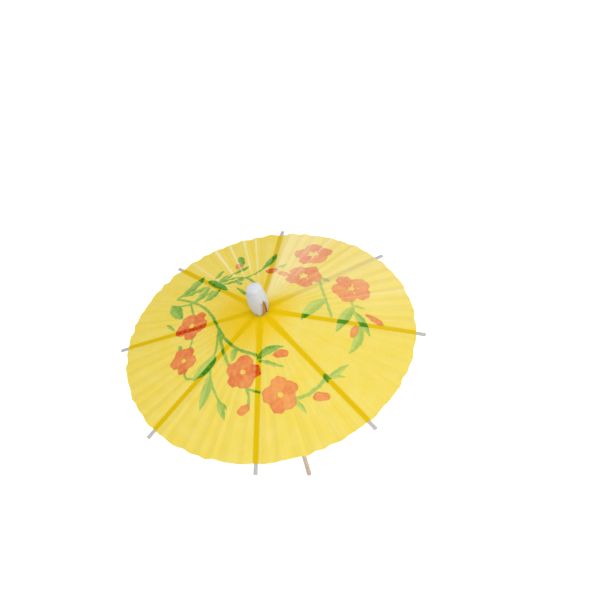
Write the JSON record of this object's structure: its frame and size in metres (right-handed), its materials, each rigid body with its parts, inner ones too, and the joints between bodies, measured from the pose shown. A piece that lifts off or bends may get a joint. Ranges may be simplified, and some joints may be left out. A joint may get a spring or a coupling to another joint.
{
  "type": "cocktail umbrella pick",
  "caption": "Small folding paper parasol on a blunt wooden pick: a pleated printed canopy on card ribs that a sliding runner and its struts hold open, capped with wound white paper.",
  "frame": {"origin": "centre of the stick's blunt lower end", "axes": "+Z along the stick towards the cap; +X along the first rib, seen from above"},
  "size_m": [0.1008, 0.1008, 0.1058],
  "materials": {
    "birch": "matte",
    "white_wrap": "matte",
    "kraft_core": "matte",
    "newsprint": "matte",
    "runner_paper": "matte",
    "card": "matte",
    "tissue": "matte",
    "ring_plastic": "satin"
  },
  "bodies": {
    "stick": {"pick_stick": "birch", "cap_wrap": "white_wrap", "cap_core": "kraft_core", "rib_tabs": "card", "spacer_sleeve": "newsprint"},
    "rib_1": {"rib_1": "card", "canopy_gore_1": "tissue", "strut_flap_1": "card"},
    "strut_1": {"strut_1": "card"},
    "rib_2": {"rib_2": "card", "canopy_gore_2": "tissue", "strut_flap_2": "card"},
    "strut_2": {"strut_2": "card"},
    "rib_3": {"rib_3": "card", "canopy_gore_3": "tissue", "strut_flap_3": "card"},
    "strut_3": {"strut_3": "card"},
    "rib_4": {"rib_4": "card", "canopy_gore_4": "tissue", "strut_flap_4": "card"},
    "strut_4": {"strut_4": "card"},
    "rib_5": {"rib_5": "card", "canopy_gore_5": "tissue", "strut_flap_5": "card"},
    "strut_5": {"strut_5": "card"},
    "rib_6": {"rib_6": "card", "canopy_gore_6": "tissue", "strut_flap_6": "card"},
    "strut_6": {"strut_6": "card"},
    "rib_7": {"rib_7": "card", "canopy_gore_7": "tissue", "strut_flap_7": "card"},
    "strut_7": {"strut_7": "card"},
    "rib_8": {"rib_8": "card", "canopy_gore_8": "tissue", "strut_flap_8": "card"},
    "strut_8": {"strut_8": "card"},
    "runner": {"runner_core": "runner_paper", "strut_tabs": "card", "runner_wrap": "runner_paper"},
    "ring": {"retaining_ring": "ring_plastic"}
  },
  "joints": [
    {"name": "rib_1_fold", "type": "hinge", "parent": "stick", "child": "rib_1", "pos_m": [0.00158, 0, 0.0934], "axis": [0, 1, 0], "range_deg": [0, 64], "deforming": ["canopy_gore_1"]},
    {"name": "strut_1_crease", "type": "hinge", "parent": "rib_1", "child": "strut_1", "pos_m": [0.02225, 0, 0.08584], "axis": [0, -1, 0], "range_deg": [0, 128]},
    {"name": "rib_2_fold", "type": "hinge", "parent": "stick", "child": "rib_2", "pos_m": [0.00112, 0.00112, 0.0934], "axis": [-0.7071, 0.7071, 0], "range_deg": [0, 64], "deforming": ["canopy_gore_2"]},
    {"name": "strut_2_crease", "type": "hinge", "parent": "rib_2", "child": "strut_2", "pos_m": [0.01574, 0.01574, 0.08584], "axis": [0.7071, -0.7071, 0], "range_deg": [0, 128]},
    {"name": "rib_3_fold", "type": "hinge", "parent": "stick", "child": "rib_3", "pos_m": [0, 0.00158, 0.0934], "axis": [-1, 0, 0], "range_deg": [0, 64], "deforming": ["canopy_gore_3"]},
    {"name": "strut_3_crease", "type": "hinge", "parent": "rib_3", "child": "strut_3", "pos_m": [0, 0.02225, 0.08584], "axis": [1, 0, 0], "range_deg": [0, 128]},
    {"name": "rib_4_fold", "type": "hinge", "parent": "stick", "child": "rib_4", "pos_m": [-0.00112, 0.00112, 0.0934], "axis": [-0.7071, -0.7071, 0], "range_deg": [0, 64], "deforming": ["canopy_gore_4"]},
    {"name": "strut_4_crease", "type": "hinge", "parent": "rib_4", "child": "strut_4", "pos_m": [-0.01574, 0.01574, 0.08584], "axis": [0.7071, 0.7071, 0], "range_deg": [0, 128]},
    {"name": "rib_5_fold", "type": "hinge", "parent": "stick", "child": "rib_5", "pos_m": [-0.00158, 0, 0.0934], "axis": [0, -1, 0], "range_deg": [0, 64], "deforming": ["canopy_gore_5"]},
    {"name": "strut_5_crease", "type": "hinge", "parent": "rib_5", "child": "strut_5", "pos_m": [-0.02225, 0, 0.08584], "axis": [0, 1, 0], "range_deg": [0, 128]},
    {"name": "rib_6_fold", "type": "hinge", "parent": "stick", "child": "rib_6", "pos_m": [-0.00112, -0.00112, 0.0934], "axis": [0.7071, -0.7071, 0], "range_deg": [0, 64], "deforming": ["canopy_gore_6"]},
    {"name": "strut_6_crease", "type": "hinge", "parent": "rib_6", "child": "strut_6", "pos_m": [-0.01574, -0.01574, 0.08584], "axis": [-0.7071, 0.7071, 0], "range_deg": [0, 128]},
    {"name": "rib_7_fold", "type": "hinge", "parent": "stick", "child": "rib_7", "pos_m": [0, -0.00158, 0.0934], "axis": [1, 0, 0], "range_deg": [0, 64], "deforming": ["canopy_gore_7"]},
    {"name": "strut_7_crease", "type": "hinge", "parent": "rib_7", "child": "strut_7", "pos_m": [0, -0.02225, 0.08584], "axis": [-1, 0, 0], "range_deg": [0, 128]},
    {"name": "rib_8_fold", "type": "hinge", "parent": "stick", "child": "rib_8", "pos_m": [0.00112, -0.00112, 0.0934], "axis": [0.7071, 0.7071, 0], "range_deg": [0, 64], "deforming": ["canopy_gore_8"]},
    {"name": "strut_8_crease", "type": "hinge", "parent": "rib_8", "child": "strut_8", "pos_m": [0.01574, -0.01574, 0.08584], "axis": [-0.7071, -0.7071, 0], "range_deg": [0, 128]},
    {"name": "runner_crease", "type": "hinge", "parent": "strut_1", "child": "runner", "pos_m": [0.00158, 0, 0.07828], "axis": [0, 1, 0], "range_deg": [0, 64]},
    {"name": "ring_slide", "type": "slide", "parent": "runner", "child": "ring", "axis": [0, 0, -1], "range_m": [0, 0.03]}
  ],
  "couplings": [
    {"joint": "strut_1_crease", "follows": "rib_1_fold", "ratio": 2},
    {"joint": "rib_2_fold", "follows": "rib_1_fold", "ratio": 1},
    {"joint": "strut_2_crease", "follows": "rib_1_fold", "ratio": 2},
    {"joint": "rib_3_fold", "follows": "rib_1_fold", "ratio": 1},
    {"joint": "strut_3_crease", "follows": "rib_1_fold", "ratio": 2},
    {"joint": "rib_4_fold", "follows": "rib_1_fold", "ratio": 1},
    {"joint": "strut_4_crease", "follows": "rib_1_fold", "ratio": 2},
    {"joint": "rib_5_fold", "follows": "rib_1_fold", "ratio": 1},
    {"joint": "strut_5_crease", "follows": "rib_1_fold", "ratio": 2},
    {"joint": "rib_6_fold", "follows": "rib_1_fold", "ratio": 1},
    {"joint": "strut_6_crease", "follows": "rib_1_fold", "ratio": 2},
    {"joint": "rib_7_fold", "follows": "rib_1_fold", "ratio": 1},
    {"joint": "strut_7_crease", "follows": "rib_1_fold", "ratio": 2},
    {"joint": "rib_8_fold", "follows": "rib_1_fold", "ratio": 1},
    {"joint": "strut_8_crease", "follows": "rib_1_fold", "ratio": 2},
    {"joint": "runner_crease", "follows": "rib_1_fold", "ratio": 1}
  ]
}
